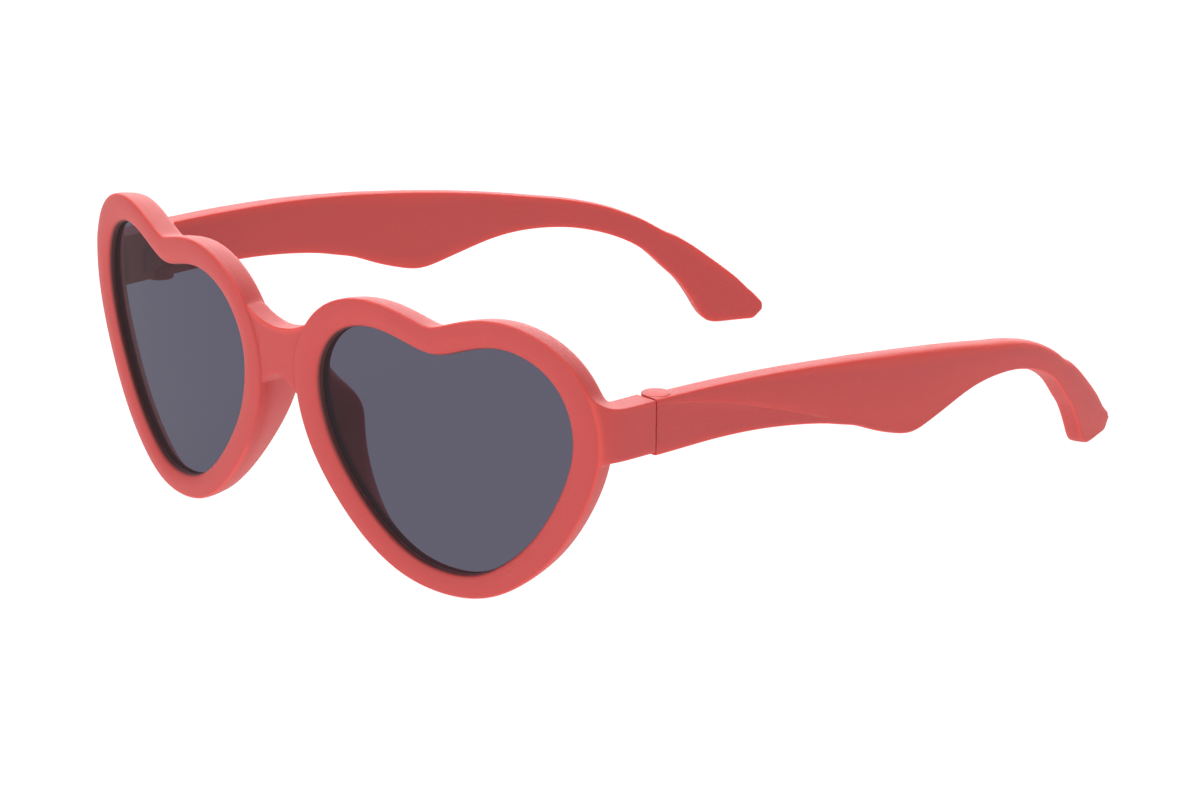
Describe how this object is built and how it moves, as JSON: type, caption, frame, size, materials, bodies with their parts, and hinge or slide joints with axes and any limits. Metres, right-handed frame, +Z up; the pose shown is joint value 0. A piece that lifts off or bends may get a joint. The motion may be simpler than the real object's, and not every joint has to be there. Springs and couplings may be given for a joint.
{
  "type": "heart shaped sunglasses",
  "caption": "Child's sunglasses with a one-piece heart shaped front, moulded nose pads, dark lenses and temples that fold inward on pin hinges.",
  "frame": {"origin": "on the table plane under the glasses, midway across and midway front to back", "axes": "+X towards the wearer's left, +Y back along the temples, +Z up; the lenses face -Y"},
  "size_m": [0.1238, 0.143, 0.0468],
  "materials": {
    "frame_moulding": "satin coral red flexible moulding with a fine grain",
    "temple_moulding": "satin coral red flexible moulding with a fine grain",
    "smoke_lens": "smooth smoke grey polycarbonate, slightly see-through",
    "pin_steel": "plain stainless steel pin"
  },
  "bodies": {
    "front": {"front_frame": "frame_moulding", "left_lens": "smoke_lens", "right_lens": "smoke_lens"},
    "left_arm": {"left_temple": "temple_moulding", "left_hinge_pin": "pin_steel"},
    "right_arm": {"right_temple": "temple_moulding", "right_hinge_pin": "pin_steel"}
  },
  "joints": [
    {"name": "left_fold", "type": "hinge", "parent": "front", "child": "left_arm", "pos_m": [0.05915, -0.04594, 0.0303], "axis": [0, 0, 1], "range_deg": [0, 83]},
    {"name": "right_fold", "type": "hinge", "parent": "front", "child": "right_arm", "pos_m": [-0.05915, -0.04594, 0.0303], "axis": [0, 0, -1], "range_deg": [0, 76]}
  ]
}
